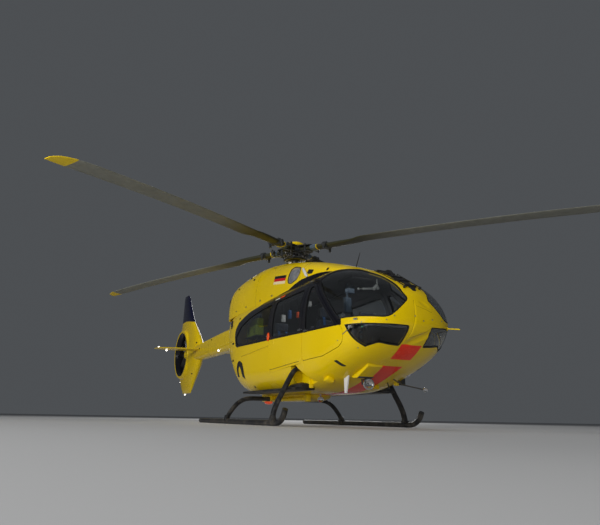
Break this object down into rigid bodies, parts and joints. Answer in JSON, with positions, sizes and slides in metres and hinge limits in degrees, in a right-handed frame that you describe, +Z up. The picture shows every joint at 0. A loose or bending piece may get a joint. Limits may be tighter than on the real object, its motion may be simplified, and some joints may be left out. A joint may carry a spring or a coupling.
{
  "type": "light twin-engine rescue helicopter on skids",
  "caption": "Light rescue helicopter on skids with a four-bladed main rotor, a shrouded tail rotor, hinged pilot doors and clamshell doors at the back of the cabin.",
  "frame": {"origin": "on the ground, under the middle of the whole machine's box with the rotor at rest", "axes": "+X to the nose, +Y to port, +Z up"},
  "size_m": [12.9113, 9.5426, 3.87],
  "materials": {
    "yellow_paint": "yellow gloss paint on composite",
    "bare_alloy": "grey floor coating on alloy",
    "tinted_glass": "tinted acrylic glazing",
    "burnt_steel": "heat-stained steel",
    "grille_metal": "dark grille",
    "engine_metal": "cast alloy",
    "dark_blade": "dark composite blade",
    "black_paint": "black satin paint on alloy",
    "mast_steel": "oiled steel",
    "grey_blade": "grey painted composite with yellow tips",
    "seat_cloth": "dark woven seat cover",
    "panel_plastic": "matt black moulding",
    "lamp_chrome": "polished lamp housing",
    "white_paint": "white aerial blade"
  },
  "bodies": {
    "airframe": {"fuselage_shell": "yellow_paint", "cabin_floor": "bare_alloy", "fuel_tank": "bare_alloy", "sliding_door_L": "yellow_paint", "sliding_door_R": "yellow_paint", "windshield_L": "tinted_glass", "windshield_R": "tinted_glass", "chin_window_L": "tinted_glass", "chin_window_R": "tinted_glass", "quarter_window_L": "tinted_glass", "quarter_window_R": "tinted_glass", "sliding_door_glass_L": "tinted_glass", "sliding_door_glass_R": "tinted_glass", "engine_cowling": "yellow_paint", "exhaust_pipe_L": "burnt_steel", "exhaust_pipe_R": "burnt_steel", "intake_grille_L": "grille_metal", "intake_grille_R": "grille_metal", "engine_block": "engine_metal", "main_gearbox": "engine_metal", "tail_boom": "yellow_paint", "tail_shroud": "yellow_paint", "tail_stator": "yellow_paint", "stabiliser_L": "yellow_paint", "stabiliser_R": "yellow_paint", "skid_tube_L": "black_paint", "skid_tube_R": "black_paint", "cross_tube_front": "black_paint", "cross_tube_rear": "black_paint", "step_L": "black_paint", "step_R": "black_paint", "belly_fairing": "yellow_paint", "front_seat_L": "seat_cloth", "front_seat_R": "seat_cloth", "cabin_seat_L": "seat_cloth", "cabin_seat_R": "seat_cloth", "instrument_panel": "panel_plastic", "search_light": "lamp_chrome", "wire_cutter_top": "black_paint", "whip_aerial": "black_paint", "belly_aerial": "white_paint"},
    "main_rotor": {"rotor_mast": "mast_steel", "rotor_hub": "yellow_paint", "rotor_blade_1": "grey_blade", "rotor_blade_2": "grey_blade", "rotor_blade_3": "grey_blade", "rotor_blade_4": "grey_blade", "swashplate": "mast_steel"},
    "tail_fan": {"tail_rotor": "dark_blade"},
    "left_pilot_door": {"pilot_door_L": "yellow_paint", "pilot_door_glass_L": "tinted_glass"},
    "right_pilot_door": {"pilot_door_R": "yellow_paint", "pilot_door_glass_R": "tinted_glass"},
    "left_clamshell": {"clamshell_door_L": "yellow_paint"},
    "right_clamshell": {"clamshell_door_R": "yellow_paint"}
  },
  "joints": [
    {"name": "main_rotor_turn", "type": "hinge", "parent": "airframe", "child": "main_rotor", "pos_m": [1.684, 0, 3.3], "axis": [0, 0, 1], "continuous": true},
    {"name": "tail_rotor_turn", "type": "hinge", "parent": "airframe", "child": "tail_fan", "pos_m": [-5.676, 0, 1.95], "axis": [0, 1, 0], "continuous": true},
    {"name": "left_pilot_door_swing", "type": "hinge", "parent": "airframe", "child": "left_pilot_door", "pos_m": [4.609, 0.815, 1.235], "axis": [0, 0, -1], "range_deg": [0, 75]},
    {"name": "right_pilot_door_swing", "type": "hinge", "parent": "airframe", "child": "right_pilot_door", "pos_m": [4.609, -0.815, 1.235], "axis": [0, 0, 1], "range_deg": [0, 75]},
    {"name": "left_clamshell_swing", "type": "hinge", "parent": "airframe", "child": "left_clamshell", "pos_m": [0.534, 0.828, 1.37], "axis": [0, 0, -1], "range_deg": [0, 90]},
    {"name": "right_clamshell_swing", "type": "hinge", "parent": "airframe", "child": "right_clamshell", "pos_m": [0.534, -0.828, 1.37], "axis": [0, 0, 1], "range_deg": [0, 90]}
  ]
}
